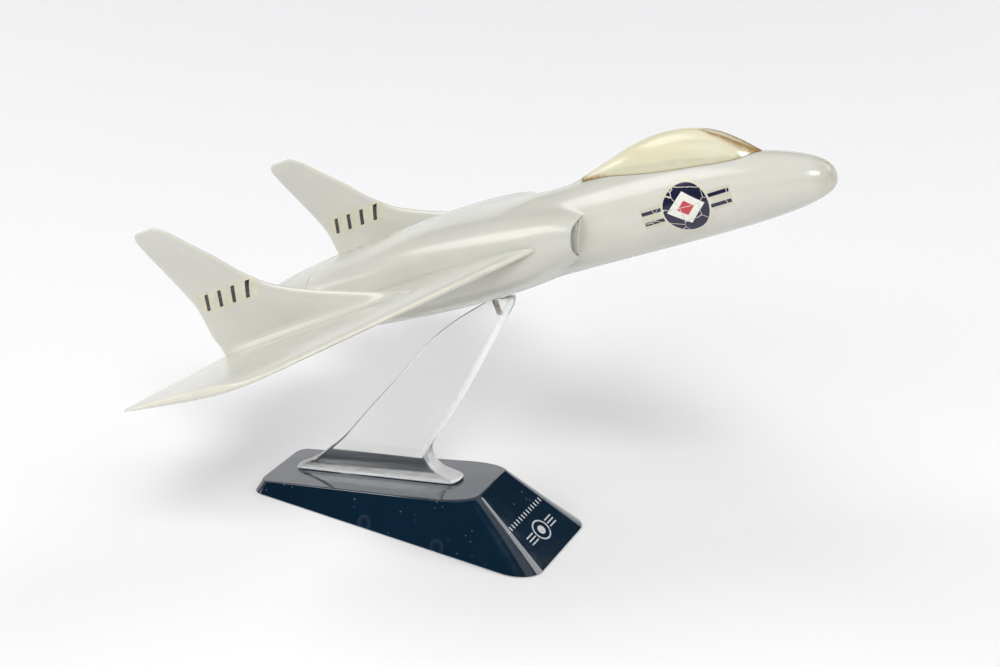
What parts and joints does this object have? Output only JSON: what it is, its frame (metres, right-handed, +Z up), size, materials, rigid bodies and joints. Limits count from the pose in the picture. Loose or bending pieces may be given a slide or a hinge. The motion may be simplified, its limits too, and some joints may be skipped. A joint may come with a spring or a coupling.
{
  "type": "desk display model aircraft",
  "caption": "Desk display model of a twin-fin swept-wing jet, nose up on a clear curved stem and pin above a dark wedge base.",
  "frame": {"origin": "centre of the base's underside, on the surface that the model stands on", "axes": "+X the way the nose points, +Y to port, +Z up"},
  "size_m": [0.2831, 0.2322, 0.1982],
  "materials": {
    "grey_acetate": "glossy warm light grey, slightly yellowed at thin edges",
    "yellowed_clear": "clear plastic yellowed with age",
    "clear_acrylic": "polished clear acrylic",
    "navy_plastic": "polished very dark blue",
    "dark_insert": "satin grey",
    "brass": "dull brass",
    "steel": "zinc plated",
    "rubber": "matt black"
  },
  "bodies": {
    "stand": {"base_shell": "navy_plastic", "base_plate": "steel", "base_pad": "rubber", "base_ballast": "steel", "base_screw_1": "steel", "base_screw_2": "steel", "base_screw_3": "steel", "base_screw_4": "steel", "stem": "clear_acrylic"},
    "pin": {"support_pin": "brass"},
    "aircraft": {"fuselage_upper": "grey_acetate", "fuselage_lower": "grey_acetate", "tail_cap": "grey_acetate", "canopy": "yellowed_clear", "wing_left": "grey_acetate", "wing_right": "grey_acetate", "fin_left": "grey_acetate", "fin_right": "grey_acetate", "intake_duct_left": "dark_insert", "intake_duct_right": "dark_insert", "tailpipe_left": "dark_insert", "tailpipe_right": "dark_insert", "wing_dowel_front": "steel", "wing_dowel_rear": "steel", "pin_socket": "brass", "nose_ballast": "steel"}
  },
  "joints": [
    {"name": "aircraft_swivel", "type": "hinge", "parent": "stand", "child": "pin", "pos_m": [0.04044, 0, 0.11298], "axis": [-0.4195, 0, 0.9078], "continuous": true},
    {"name": "aircraft_lift", "type": "slide", "parent": "pin", "child": "aircraft", "axis": [-0.4195, 0, 0.9078], "range_m": [0, 0.025]}
  ]
}
